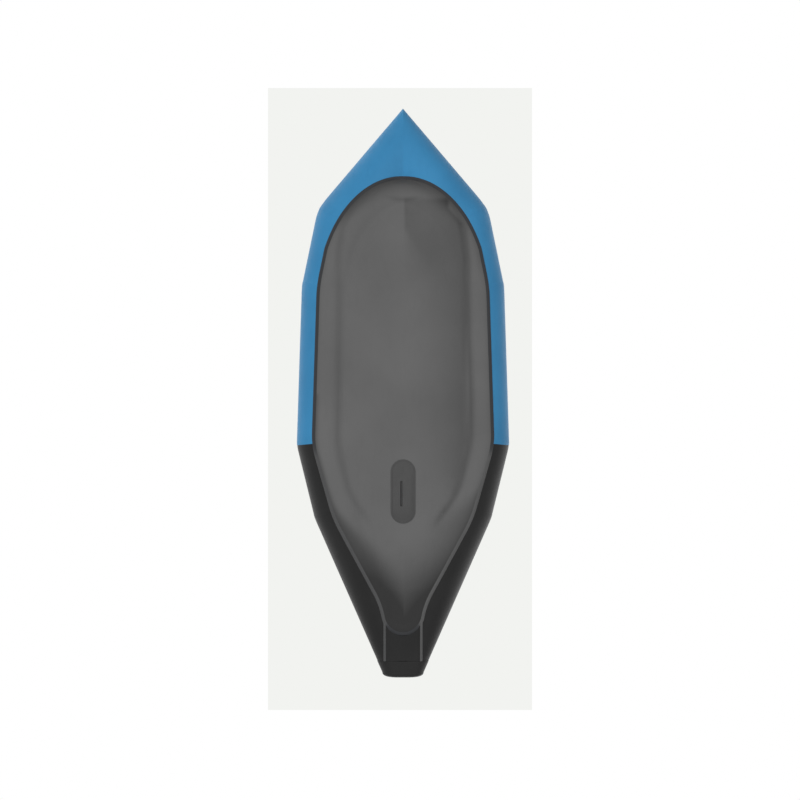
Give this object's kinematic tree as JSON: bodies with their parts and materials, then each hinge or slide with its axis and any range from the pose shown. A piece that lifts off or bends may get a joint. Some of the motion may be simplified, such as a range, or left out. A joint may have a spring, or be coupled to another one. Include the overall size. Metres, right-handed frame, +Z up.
{
  "type": "packraft",
  "caption": "Inflatable packraft: mitred tube panels with a pointed bow and blunt stern, floor with a skeg pocket, seat, tilting backrest, valves, D-rings and carry handles.",
  "frame": {"origin": "under the middle of the hull, at the floor's lowest face", "axes": "+Y toward the stern along the hull, +X to port, +Z up, with the hull lying on its floor"},
  "size_m": [0.968, 2.5998, 0.3957],
  "materials": {
    "blue_hull_fabric": "coated woven nylon, satin",
    "black_hull_fabric": "coated woven nylon, satin",
    "floor_fabric": "heavy coated woven nylon, matte",
    "seam_tape": "coated tape, satin",
    "pocket_fabric": "heavy coated woven nylon, matte",
    "black_webbing": "woven webbing, matte",
    "cushion_fabric": "coated nylon, matte",
    "stainless_steel": "polished wire",
    "black_plastic": "moulded, satin",
    "grey_plastic": "moulded, satin",
    "red_rubber": "moulded, matte"
  },
  "bodies": {
    "hull": {"backrest_strap_port": "black_webbing", "backrest_strap_starboard": "black_webbing", "beam_inner_tape_port": "seam_tape", "beam_inner_tape_starboard": "seam_tape", "bow_d_ring_port_patch": "black_webbing", "bow_d_ring_starboard_patch": "black_webbing", "bow_handle_patch": "black_webbing", "bow_inner_tape": "seam_tape", "bow_tube_port": "blue_hull_fabric", "bow_tube_starboard": "blue_hull_fabric", "floor_panel": "floor_fabric", "floor_seam_tape": "seam_tape", "fore_d_ring_port_patch": "black_webbing", "fore_d_ring_starboard_patch": "black_webbing", "fore_inner_tape_port": "seam_tape", "fore_inner_tape_starboard": "seam_tape", "mouth_valve_boot": "black_hull_fabric", "mouth_valve_stem": "black_plastic", "quarter_inner_tape_port": "seam_tape", "quarter_inner_tape_starboard": "seam_tape", "quarter_tube_port": "black_hull_fabric", "quarter_tube_starboard": "black_hull_fabric", "seat_cushion": "cushion_fabric", "seat_strap_port": "black_webbing", "seat_strap_starboard": "black_webbing", "seat_valve_stem": "black_plastic", "shoulder_inner_tape_port": "seam_tape", "shoulder_inner_tape_starboard": "seam_tape", "shoulder_tube_port": "blue_hull_fabric", "shoulder_tube_starboard": "blue_hull_fabric", "side_tube_port": "blue_hull_fabric", "side_tube_starboard": "blue_hull_fabric", "skeg_pocket": "pocket_fabric", "stern_cap": "black_hull_fabric", "stern_d_ring_port_patch": "black_webbing", "stern_d_ring_starboard_patch": "black_webbing", "stern_handle_patch": "black_webbing", "stern_tube_port": "black_hull_fabric", "stern_tube_starboard": "black_hull_fabric", "valve_body": "black_plastic", "valve_boot": "black_hull_fabric", "valve_leash_ring": "grey_plastic", "valve_nut": "black_plastic", "valve_spring": "stainless_steel"},
    "bow_d_ring_port": {"bow_d_ring_port": "stainless_steel"},
    "bow_d_ring_starboard": {"bow_d_ring_starboard": "stainless_steel"},
    "fore_d_ring_port": {"fore_d_ring_port": "stainless_steel"},
    "fore_d_ring_starboard": {"fore_d_ring_starboard": "stainless_steel"},
    "stern_d_ring_port": {"stern_d_ring_port": "stainless_steel"},
    "stern_d_ring_starboard": {"stern_d_ring_starboard": "stainless_steel"},
    "bow_handle": {"bow_handle": "black_webbing"},
    "stern_handle": {"stern_handle": "black_webbing"},
    "valve_poppet": {"valve_poppet": "grey_plastic", "valve_seal": "red_rubber"},
    "valve_cap": {"valve_cap": "grey_plastic"},
    "mouth_valve_tip": {"mouth_valve_tip": "grey_plastic"},
    "seat_valve_plug": {"seat_valve_plug": "grey_plastic"},
    "backrest": {"backrest": "cushion_fabric"}
  },
  "joints": [
    {"name": "bow_d_ring_port_swing", "type": "hinge", "parent": "hull", "child": "bow_d_ring_port", "pos_m": [0.14241, -0.91273, 0.32769], "axis": [0.7658, -0.6431, 0], "range_deg": [0, 152]},
    {"name": "bow_d_ring_starboard_swing", "type": "hinge", "parent": "hull", "child": "bow_d_ring_starboard", "pos_m": [-0.14241, -0.91273, 0.32769], "axis": [0.7658, 0.6431, 0], "range_deg": [0, 152]},
    {"name": "fore_d_ring_port_swing", "type": "hinge", "parent": "hull", "child": "fore_d_ring_port", "pos_m": [0.28977, -0.62008, 0.29549], "axis": [0.9796, -0.2009, 0], "range_deg": [0, 152]},
    {"name": "fore_d_ring_starboard_swing", "type": "hinge", "parent": "hull", "child": "fore_d_ring_starboard", "pos_m": [-0.28977, -0.62008, 0.29549], "axis": [0.9796, 0.2009, 0], "range_deg": [0, 152]},
    {"name": "stern_d_ring_port_swing", "type": "hinge", "parent": "hull", "child": "stern_d_ring_port", "pos_m": [0.19948, 0.68622, 0.29519], "axis": [0.9158, 0.4016, 0], "range_deg": [0, 152]},
    {"name": "stern_d_ring_starboard_swing", "type": "hinge", "parent": "hull", "child": "stern_d_ring_starboard", "pos_m": [-0.19948, 0.68622, 0.29519], "axis": [0.9158, -0.4016, 0], "range_deg": [0, 152]},
    {"name": "bow_handle_swing", "type": "hinge", "parent": "hull", "child": "bow_handle", "pos_m": [0, -1.14119, 0.35257], "axis": [1, 0, 0], "range_deg": [0, 128]},
    {"name": "stern_handle_swing", "type": "hinge", "parent": "hull", "child": "stern_handle", "pos_m": [0, 1.25043, 0.23758], "axis": [-1, 0, 0], "range_deg": [0, 128]},
    {"name": "valve_poppet_press", "type": "slide", "parent": "hull", "child": "valve_poppet", "axis": [0, 0, -1], "range_m": [0, 0.006], "stiffness_N_per_m": 300, "springref_m": -0.004, "deforming": ["valve_spring"]},
    {"name": "valve_cap_flip", "type": "hinge", "parent": "hull", "child": "valve_cap", "pos_m": [0.31477, 0.34172, 0.2917], "axis": [-0.971, -0.2391, 0], "range_deg": [0, 150]},
    {"name": "mouth_valve_tip_twist", "type": "hinge", "parent": "hull", "child": "mouth_valve_tip", "pos_m": [0.28832, 0.44912, 0.282], "axis": [0, 0, 1], "range_deg": [0, 90]},
    {"name": "seat_valve_plug_pull", "type": "slide", "parent": "hull", "child": "seat_valve_plug", "axis": [0, 0, 1], "range_m": [0, 0.016]},
    {"name": "backrest_tilt", "type": "hinge", "parent": "hull", "child": "backrest", "pos_m": [0, 0.28, 0.214], "axis": [1, 0, 0], "range_deg": [-25, 80]}
  ]
}
